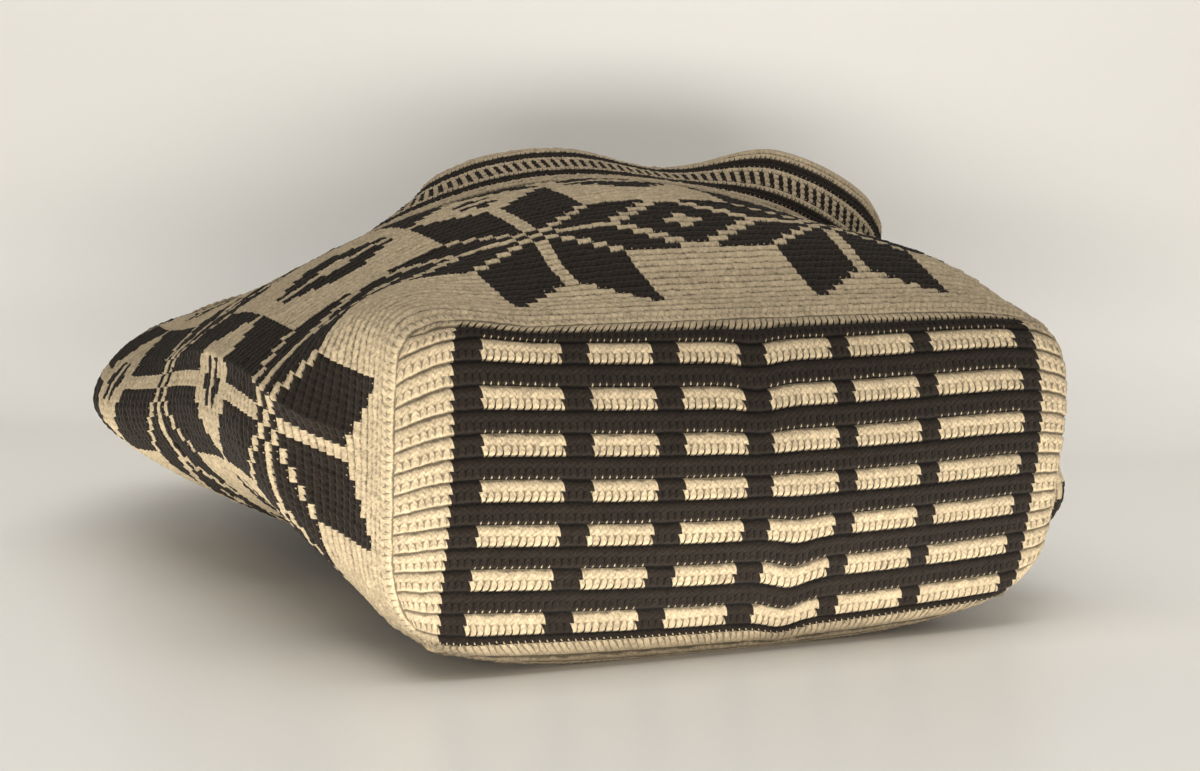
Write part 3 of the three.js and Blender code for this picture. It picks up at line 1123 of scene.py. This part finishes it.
    def build(self, material: Material) -> None:
        """Makes and dresses the strap.

        Args:
            material: Yarn of the strap.
        """
        edge, across, out = self.seats()
        line = np.arange(self.rows * self.lines + 1) / self.lines
        back_line = np.linspace(self.rows, 0.0, self.back_lines + 1)
        smooth, back = (edge[None] + across[None] * (rows / self.rows * self.width)[:, None, None]
                        for rows in (line, back_line))
        column = np.arange(edge.shape[0]) / self.columns
        stitch, row = np.meshgrid(column, line)
        weight = smoothstep(np.minimum(row, self.rows - row), *self.edge_ease)
        steps, outs = (self.columns, self.lines), np.repeat(out[None], len(line), axis=0)
        front = self.relief.bend(smooth + outs * (self.thickness / 2 - self.relief.rib), outs, stitch, row,
                                 weight, steps, self.seed)
        from_edge = np.minimum(back_line, self.rows - back_line) / self.back_round
        plump = np.sqrt(np.clip(from_edge, 0.0, 1.0)) * self.thickness / 2
        points = np.concatenate([front, back - out[None] * plump[:, None, None], front[:1]])
        row = np.concatenate([line, back_line, [0.0]])
        cells = np.clip(whole(row[:-1]), 0, self.rows - 1)
        marks = stitch_marks(self.pattern, whole(column[:-1]), cells, steps, self.seed)
        name = "shoulder_strap_cloth"
        piece = StitchSheet(name, points, column, row, marks, self.shape.centre).build()
        merge_seams(piece)
        with opened(piece) as cloth:
            bmesh.ops.triangulate(cloth, faces=fill_holes(cloth))
            bmesh.ops.recalc_face_normals(cloth, faces=cloth.faces)
        declare(piece, Node.STRAP, material)


class NodeDesk:
    """Lays out the nodes of one tree."""

    def __init__(self, tree: bpy.types.NodeTree) -> None:
        """Keeps the tree that the nodes go into."""
        self.tree = tree

    def add(self, kind: str, inputs: dict[str, object] | None = None, **settings: object) -> GraphNode:
        """Adds a node.

        Args:
            kind: Type of the node.
            inputs: Values or constants for its inputs, by name.
            settings: Other settings of the node.

        Returns:
            The new node.
        """
        made = self.tree.nodes.new(kind)
        for title, value in settings.items():
            setattr(made, title, value)
        for title, value in (inputs or {}).items():
            self.feed(made.inputs[title], value)
        return made

    def feed(self, socket: bpy.types.NodeSocket, value: object) -> None:
        """Links a value to an input, or sets a constant on it.

        Args:
            socket: The input.
            value: The value or constant.
        """
        if isinstance(value, Value):
            self.tree.links.new(value.socket, socket)
        else:
            socket.default_value = value

    def value(self, node: GraphNode, output: str | int = 0) -> "Value":
        """One output of a node."""
        return Value(self, node.outputs[output])

    def join(self, node: GraphNode, *values: object) -> "Value":
        """Feeds a node's first inputs.

        Args:
            node: The node.
            values: Values or constants, in the order of the inputs.

        Returns:
            The node's first output.
        """
        for socket, value in zip(node.inputs, values):
            self.feed(socket, value)
        return self.value(node)

    def math(self, operation: str, *values: object) -> "Value":
        """Works out one value from others."""
        return self.join(self.add("ShaderNodeMath", operation=operation), *values)

    def noise(self, place: "Value", scale: float, detail: float, roughness: float = 0.5,
              output: str = "Fac") -> "Value":
        """Uneven spots.

        Args:
            place: Where they are looked up.
            scale: How fine they are.
            detail: How many finer layers they have.
            roughness: How strong the finer layers are.
            output: Output of the node.

        Returns:
            The strength or the colour of the spots.
        """
        inputs = {"Vector": place, "Scale": scale, "Detail": detail, "Roughness": roughness}
        return self.value(self.add("ShaderNodeTexNoise", inputs), output)

    def mix(self, share: object, first: object, second: object, blend: str = "MIX") -> "Value":
        """Mixes two colours.

        Args:
            share: How much of the second colour is taken.
            first: First colour.
            second: Second colour.
            blend: How they are mixed.

        Returns:
            The mixed colour.
        """
        made = self.add("ShaderNodeMix", data_type="RGBA", blend_type=blend)
        for number, value in zip(MIX_INPUTS, (share, first, second)):
            self.feed(made.inputs[number], value)
        return self.value(made, MIX_RESULT)


@dataclass(frozen=True)
class Value:
    """An output of a node, with operators that add the nodes of a formula."""

    desk: NodeDesk
    socket: bpy.types.NodeSocket

    def __add__(self, other: object) -> "Value":
        """Sum."""
        return self.desk.math("ADD", self, other)

    def __sub__(self, other: object) -> "Value":
        """Difference."""
        return self.desk.math("SUBTRACT", self, other)

    def __rsub__(self, other: float) -> "Value":
        """What a number is more than this."""
        return self.desk.math("SUBTRACT", other, self)

    def __mul__(self, other: object) -> "Value":
        """Product."""
        return self.desk.math("MULTIPLY", self, other)

    def __truediv__(self, other: object) -> "Value":
        """Quotient."""
        return self.desk.math("DIVIDE", self, other)

    def __or__(self, other: object) -> "Value":
        """Larger of two values."""
        return self.desk.math("MAXIMUM", self, other)

    def part(self) -> "Value":
        """What is past the last whole number."""
        return self.desk.math("FRACT", self)

    def off(self, middle: float) -> "Value":
        """Distance from a number."""
        return self.desk.math("ABSOLUTE", self - middle)

    def toward(self, other: "Value", share: "Value") -> "Value":
        """A share of the way to another value."""
        return self + (other - self) * share

    def ease(self, low: float, high: float) -> "Value":
        """Eases from 0 at low to 1 at high."""
        made = self.desk.add("ShaderNodeMapRange", interpolation_type="SMOOTHSTEP")
        return self.desk.join(made, self, low, high)

    def axes(self) -> tuple["Value", "Value"]:
        """First two coordinates of a vector."""
        made = self.desk.add("ShaderNodeSeparateXYZ", {"Vector": self})
        return self.desk.value(made, "X"), self.desk.value(made, "Y")


def fresh_desk(owner: Material | bpy.types.World) -> NodeDesk:
    """Clears the nodes of a material or world.

    Args:
        owner: The material or world.

    Returns:
        A desk for its new nodes.
    """
    owner.use_nodes = True
    owner.node_tree.nodes.clear()
    return NodeDesk(owner.node_tree)


@dataclass(frozen=True)
class YarnFinish:
    """Cotton yarn in two colours."""

    name: str
    cream: Four
    dark: Four
    shade: float = 0.05
    # Strength of the painted shade that darkens the crevices between stitches.
    crevice: float = 0.7
    pair: float = 0.0
    slant: float = 0.3
    reach: float = 0.5
    teeth: float = 0.4
    bump: float = 0.5
    bump_height: float = 0.0006
    roughness: float = 0.88
    specular: float = 0.12
    sheen: float = 0.03
    sheen_roughness: float = 0.5


@dataclass(frozen=True)
class StitchForm:
    """Sizes of the yarn's gaps, plies and colour edges, in parts of a stitch, and of its spots.

    Two numbers are where an edge starts and ends. Those of the wedge and the loop are a slope and a start,
    and those of the spots, the fuzz, the cloud and the fibre are a scale and a detail.
    """

    wobble_spots: Span = (190.0, 1.0)
    wobble: Span = (0.7, 0.35)
    groove: Span = (0.33, 0.5)
    groove_depth: float = 0.75
    hole_up: Span = (0.28, 0.45)
    hole_across: Span = (0.26, 0.46)
    leg: Span = (0.36, 0.5)
    leg_slope: float = 0.5
    leg_depth: float = 0.14
    deep_groove: Span = (0.76, 0.95)
    wedge: Span = (0.26, -0.54)
    wedge_side: Span = (-0.03, 0.08)
    wedge_top: Span = (0.92, 1.06)
    wedge_depth: float = 0.8
    chain: Span = (0.02, 0.12)
    chain_across: Span = (0.05, 0.35)
    chain_depth: float = 0.6
    bump_slope: float = -0.6
    bump_side: Span = (0.32, 0.5)
    bump_start: Span = (1.0, 1.15)
    bump_depth: float = 0.35
    ply_slant: float = 1.6
    plies: float = 2.0
    ply_height: float = 0.3
    gap_height: float = 0.8
    fuzz: Triple = (1400.0, 3.0, 0.6)
    tone_shift: float = 0.04
    arch: Span = (0.1, 0.5)
    arch_edge: Span = (-0.03, 0.03)
    loop: Span = (-0.5, 0.2)
    loop_edge: Span = (-0.02, 0.03)
    loop_start: Span = (0.04, 0.1)
    side_edge: Span = (-0.05, 0.05)
    cloud: Span = (22.0, 2.0)
    fibre: Span = (760.0, 2.0)
    fibre_weight: float = 2.9
    uneven: float = 0.35


class YarnGroups:
    """Node groups that all the crocheted pieces share."""

    def __init__(self) -> None:
        """Builds the groups."""
        self.form = StitchForm()
        self.stitch = self.stitch_group()
        self.edge = self.edge_group()
        self.tint = self.tint_group()

    def start(self, name: str, inputs: dict[str, Kind],
              outputs: dict[str, Kind]) -> tuple[NodeDesk, dict[str, Value], GraphNode]:
        """Starts a node group.

        Args:
            name: Name of the group.
            inputs: Input names with their kinds.
            outputs: Output names with their kinds.

        Returns:
            The group's desk, its inputs by name, and its output node.
        """
        tree = bpy.data.node_groups.new(name, "ShaderNodeTree")
        for side, sockets in (("INPUT", inputs), ("OUTPUT", outputs)):
            for title, kind in sockets.items():
                tree.interface.new_socket(name=title, in_out=side, socket_type=kind.value)
        desk = NodeDesk(tree)
        given = desk.add("NodeGroupInput")
        return desk, {title: desk.value(given, title) for title in inputs}, desk.add("NodeGroupOutput")

    def stitch_group(self) -> bpy.types.NodeTree:
        """Plies of the yarn and the gaps between stitches, from the stitch counts. The gaps' mask feeds the
        bump and the painted shade in the yarn's colour.

        Returns:
            The node group.
        """
        form = self.form
        desk, given, result = self.start(
            "crochet stitch",
            {"Stitches": Kind.VECTOR, "Place": Kind.VECTOR, "Pair": Kind.FLOAT},
            {"Crevice": Kind.FLOAT, "Height": Kind.FLOAT},
        )
        count, line = given["Stitches"].axes()
        colour = desk.noise(given["Place"], *form.wobble_spots, output="Color")
        shift = desk.add("ShaderNodeSeparateColor", {"Color": colour})
        stitch = count + (desk.value(shift, 0) - 0.5) * form.wobble[0]
        row = line + (desk.value(shift, 1) - 0.5) * form.wobble[1]
        across, up = stitch.part().off(0.5), row.part().off(0.5)
        single = self.single_crevice(stitch, row, across, up)
        double = self.double_crevice(stitch, row, across)
        crevice = single.toward(double, given["Pair"] | desk.math("LESS_THAN", line, 1.0))
        slant = across * form.ply_slant + row * form.plies
        ply = desk.math("SINE", slant * (2.0 * math.pi))
        height = desk.noise(given["Place"], *form.fuzz) + ply * form.ply_height - crevice * form.gap_height
        desk.feed(result.inputs["Crevice"], crevice)
        desk.feed(result.inputs["Height"], height)
        return desk.tree

    def single_crevice(self, stitch: Value, row: Value, across: Value, up: Value) -> Value:
        """Thin grooves between rounds, a small hole beside each stitch and its slanted leg.

        Args:
            stitch: Stitch count.
            row: Row count.
            across: Distance from the middle of the stitch.
            up: Distance from the middle of the row.

        Returns:
            The depth of the gaps, from 0 to 1.
        """
        form = self.form
        hole = up.ease(*form.hole_up) * across.ease(*form.hole_across)
        leg = (stitch + row * form.leg_slope).part().off(0.5).ease(*form.leg)
        return (up.ease(*form.groove) * form.groove_depth) | (leg * form.leg_depth) | hole

    def double_crevice(self, stitch: Value, row: Value, across: Value) -> Value:
        """Deep grooves every second row, with wedges between the posts of the lower row.

        Args:
            stitch: Stitch count.
            row: Row count.
            across: Distance from the middle of the stitch.

        Returns:
            The depth of the gaps, from 0 to 1.
        """
        form = self.form
        level = (row * 0.5 + 0.5).part() * 2.0
        off = level.off(1.0)
        slope, start = form.wedge
        wedge = (across + (level * slope + start)).ease(*form.wedge_side)
        wedge = wedge * (1.0 - level.ease(*form.wedge_top)) * form.wedge_depth
        chain = (1.0 - off.ease(*form.chain)) * across.ease(*form.chain_across) * form.chain_depth
        bumps = (stitch + level * form.bump_slope).part().off(0.5).ease(*form.bump_side)
        bumps = bumps * (level.ease(*form.bump_start) * form.bump_depth)
        return off.ease(*form.deep_groove) | wedge | chain | bumps

    def edge_group(self) -> bpy.types.NodeTree:
        """Where one colour reaches into the next stitch: scallops, small loops and slanted sides.

        Returns:
            The node group.
        """
        form = self.form
        numbers = ("Dark", "Below", "Left", "Tone", "Slant", "Reach", "Teeth")
        desk, given, result = self.start(
            "colour edge",
            {"Stitches": Kind.VECTOR} | {title: Kind.FLOAT for title in numbers},
            {"Dark Stitch": Kind.FLOAT},
        )
        count, line = given["Stitches"].axes()
        along, up = count.part(), line.part() + given["Tone"] * form.tone_shift
        across, far = along.off(0.5), up / given["Reach"]
        scallop = 1.0 - (far - across.ease(*form.arch) * given["Teeth"]).ease(*form.arch_edge)
        slope, start = form.loop
        loop = (far * slope + start - across).ease(*form.loop_edge) * up.ease(*form.loop_start)
        dark = given["Dark"]
        first = dark.toward(given["Below"], scallop.toward(loop, dark))
        reach = (1.0 - up) * given["Slant"]
        side = 1.0 - (along - reach).ease(*form.side_edge)
        desk.feed(result.inputs["Dark Stitch"], first.toward(given["Left"], side))
        return desk.tree

    def tint_group(self) -> bpy.types.NodeTree:
        """Yarn colour with its uneven dye, and painted shade that darkens its crevices.

        Returns:
            The node group.
        """
        form = self.form
        numbers = ("Dark Stitch", "Tone", "Shade", "Crevice", "Depth")
        desk, given, result = self.start(
            "yarn tint",
            {"Cream": Kind.COLOUR, "Dark": Kind.COLOUR, "Place": Kind.VECTOR}
            | {title: Kind.FLOAT for title in numbers},
            {"Colour": Kind.COLOUR},
        )
        colour = desk.mix(given["Dark Stitch"], given["Cream"], given["Dark"])
        cloud, fibre = (desk.noise(given["Place"], *spots) - 0.5 for spots in (form.cloud, form.fibre))
        tone = given["Tone"] * given["Shade"] + 1.0 + (cloud + fibre * form.fibre_weight) * form.uneven
        # Painted shade: the crevice mask darkens the colour in the gaps and holes between stitches.
        tone = tone * (1.0 - given["Crevice"] * given["Depth"])
        grey = desk.join(desk.add("ShaderNodeCombineColor"), tone, tone, tone)
        desk.feed(result.inputs["Colour"], desk.mix(1.0, colour, grey, "MULTIPLY"))
        return desk.tree

    def material(self, finish: YarnFinish) -> Material:
        """Makes a yarn material.

        Args:
            finish: Colours and depth of the yarn.

        Returns:
            The material.
        """
        made = bpy.data.materials.new(finish.name)
        desk = fresh_desk(made)
        counts = desk.value(desk.add("ShaderNodeUVMap", uv_map="stitches"))
        place = desk.value(desk.add("ShaderNodeTexCoord"), "Object")
        dark, below, left, tone = (desk.value(desk.add("ShaderNodeAttribute", attribute_name=title), "Fac")
                                   for title in COLOUR_MARKS + ("tone",))
        edge = desk.add("ShaderNodeGroup", {
            "Stitches": counts, "Dark": dark, "Below": below, "Left": left, "Tone": tone,
            "Slant": finish.slant, "Reach": finish.reach, "Teeth": finish.teeth}, node_tree=self.edge)
        stitch = desk.add("ShaderNodeGroup", {
            "Stitches": counts, "Place": place, "Pair": finish.pair}, node_tree=self.stitch)
        # The crevice mask darkens the base colour: painted shade in the gaps between stitches.
        tint = desk.add("ShaderNodeGroup", {
            "Cream": finish.cream, "Dark": finish.dark, "Dark Stitch": desk.value(edge), "Tone": tone,
            "Shade": finish.shade, "Place": place, "Crevice": desk.value(stitch, "Crevice"),
            "Depth": finish.crevice}, node_tree=self.tint)
        bump = desk.add("ShaderNodeBump", {
            "Height": desk.value(stitch, "Height"), "Strength": finish.bump, "Distance": finish.bump_height})
        shader = desk.add("ShaderNodeBsdfPrincipled", {
            "Base Color": desk.value(tint), "Roughness": finish.roughness, "Sheen Weight": finish.sheen,
            "Sheen Roughness": finish.sheen_roughness, "Specular IOR Level": finish.specular,
            "Normal": desk.value(bump)})
        desk.add("ShaderNodeOutputMaterial", {"Surface": desk.value(shader)})
        return made


@dataclass(frozen=True)
class Lamp:
    """A soft lamp that isn't seen itself."""

    name: str
    place: Triple
    aim: Triple
    size: Span
    power: float
    colour: Triple

    def hang(self) -> None:
        """Hangs the lamp and turns it to its aim."""
        data = bpy.data.lights.new(self.name, "AREA")
        data.shape, data.size, data.size_y = "RECTANGLE", self.size[0], self.size[1]
        data.energy, data.color = self.power, self.colour
        lamp = place_object(self.name, data)
        lamp.location = self.place
        lamp.rotation_mode = "QUATERNION"
        lamp.rotation_quaternion = (Vector(self.aim) - Vector(self.place)).to_track_quat("-Z", "Y")
        lamp.visible_camera = False


@dataclass
class Studio:
    """Pale seamless floor, soft light and the camera."""

    camera_place: Triple = (-0.57804, -1.12862, 0.24983)
    yaw: float = 0.5
    pitch: float = -0.141
    roll: float = 0.029
    lens: float = 87.414
    sensor: float = 36.0
    clip: Span = (0.05, 50.0)
    floor_half: float = 3.0
    floor_steps: int = 360
    sweep_start: float = 0.27
    sweep_radius: float = 0.14
    wall_height: float = 1.0
    floor_colour: Four = (0.84, 0.82, 0.78, 1.0)
    floor_shade: float = 0.97
    floor_grain: Span = (3.0, 3.0)
    floor_roughness: float = 0.38
    floor_specular: float = 0.4
    sky: Four = (1.0, 0.99, 0.97, 1.0)
    sky_strength: float = 0.28
    lamps: tuple[Lamp, ...] = (
        Lamp("key", (-0.68, -1.45, 0.1), (0.0, 0.0, 0.1), (0.7, 0.18), 14.3, (1.0, 0.97, 0.92)),
        Lamp("top", (-0.2, -0.28, 1.3), (-0.2, -0.72, 0.0), (1.6, 0.8), 10.6, (1.0, 0.99, 0.96)),
        Lamp("front bounce", (-0.02, -0.319, 0.004), (-0.02, -0.319, 1.0), (0.62, 0.17), 1.65,
             (1.0, 0.98, 0.91)),
        Lamp("side bounce", (-0.33, -0.1, 0.004), (-0.33, -0.1, 1.0), (0.3, 0.5), 1.2, (1.0, 0.98, 0.91)),
    )

    def place_camera(self) -> None:
        """Puts the camera at the photograph's angle."""
        data = bpy.data.cameras.new("camera")
        data.lens, data.sensor_width, data.sensor_fit = self.lens, self.sensor, "HORIZONTAL"
        data.clip_start, data.clip_end = self.clip
        camera = place_object("camera", data)
        turn = Matrix.Rotation(-self.yaw, 4, "Z") @ Matrix.Rotation(math.pi / 2 + self.pitch, 4, "X")
        turn = turn @ Matrix.Rotation(self.roll, 4, "Z")
        camera.matrix_world = Matrix.Translation(self.camera_place) @ turn
        bpy.context.scene.camera = camera

    def lay_floor(self) -> None:
        """Lays the floor, which sweeps up into a backdrop."""
        sheet = bmesh.new()
        bmesh.ops.create_grid(sheet, x_segments=2, y_segments=self.floor_steps, size=1.0)
        for vertex in sheet.verts:
            vertex.co.x *= self.floor_half
            vertex.co.y, vertex.co.z = self.profile((vertex.co.y + 1.0) / 2.0)
        bmesh.ops.transform(sheet, matrix=Matrix.Rotation(-self.yaw, 4, "Z"), verts=sheet.verts)
        mesh = bpy.data.meshes.new("floor")
        sheet.to_mesh(mesh)
        sheet.free()
        mesh.polygons.foreach_set("use_smooth", np.ones(len(mesh.polygons), dtype=bool))
        floor = place_object("floor", mesh)
        mesh.materials.append(self.floor_material())

    def profile(self, run: float) -> tuple[float, float]:
        """Line of the floor, first flat, then curved, then upright.

        Args:
            run: Share of the line's length.

        Returns:
            Place away from the camera and height.
        """
        bend = self.sweep_radius * math.pi / 2
        flat = self.floor_half + self.sweep_start
        reach = run * (flat + bend + self.wall_height)
        if reach < flat:
            return reach - self.floor_half, 0.0
        turn = min((reach - flat) / self.sweep_radius, math.pi / 2)
        past = max(reach - flat - bend, 0.0)
        y = self.sweep_start + self.sweep_radius * math.sin(turn)
        return y, self.sweep_radius * (1.0 - math.cos(turn)) + past

    def floor_material(self) -> Material:
        """Pale matte paper, clear from behind.

        Returns:
            The material.
        """
        made = bpy.data.materials.new("pale paper")
        desk = fresh_desk(made)
        grain = desk.noise(desk.value(desk.add("ShaderNodeTexCoord"), "Object"), *self.floor_grain)
        deeper = tuple(self.floor_shade * part for part in self.floor_colour[:3]) + (1.0,)
        paper = desk.add("ShaderNodeBsdfPrincipled", {
            "Base Color": desk.mix(grain, self.floor_colour, deeper),
            "Roughness": self.floor_roughness, "Specular IOR Level": self.floor_specular})
        behind = desk.value(desk.add("ShaderNodeNewGeometry"), "Backfacing")
        clear = desk.value(desk.add("ShaderNodeBsdfTransparent"))
        sides = desk.join(desk.add("ShaderNodeMixShader"), behind, desk.value(paper), clear)
        desk.add("ShaderNodeOutputMaterial", {"Surface": sides})
        return made

    def hang_lights(self) -> None:
        """Sets the sky's light and hangs the lamps."""
        world = bpy.data.worlds.new("studio")
        desk = fresh_desk(world)
        sky = desk.add("ShaderNodeBackground", {"Color": self.sky, "Strength": self.sky_strength})
        desk.add("ShaderNodeOutputWorld", {"Surface": desk.value(sky)})
        bpy.context.scene.world = world
        for lamp in self.lamps:
            lamp.hang()

    def build(self) -> None:
        """Sets up the whole studio."""
        bpy.context.scene.view_settings.view_transform = "Standard"
        self.place_camera()
        self.lay_floor()
        self.hang_lights()
        LOG.info("studio: floor, sky, %d lamps and camera", len(self.lamps))


@dataclass
class ToteBag:
    """The whole bag with its yarns."""

    shape: BagShape = BagShape()
    wall_yarn: YarnFinish = YarnFinish(
        "wall yarn", (0.37, 0.294, 0.19, 1.0), (0.0135, 0.0092, 0.006, 1.0))
    base_yarn: YarnFinish = YarnFinish(
        "base yarn", (0.325, 0.257, 0.166, 1.0), (0.0115, 0.0078, 0.005, 1.0),
        pair=1.0, slant=0.5, reach=1.0, teeth=0.65)
    strap_yarn: YarnFinish = YarnFinish(
        "strap yarn", (0.36, 0.286, 0.19, 1.0), (0.0135, 0.0092, 0.006, 1.0),
        slant=0.2, reach=0.6, teeth=0.7)

    def build(self) -> None:
        """Builds the wall, the base and the strap."""
        groups = YarnGroups()
        CrochetWall(self.shape).build(groups.material(self.wall_yarn))
        CrochetBase(self.shape).build(groups.material(self.base_yarn))
        ShoulderStrap(self.shape).build(groups.material(self.strap_yarn))


def main() -> None:
    """Builds the studio and the bag."""
    logging.basicConfig(level=logging.INFO, format="%(name)s: %(message)s")
    Studio().build()
    ToteBag().build()


if __name__ == "__main__":
    main()
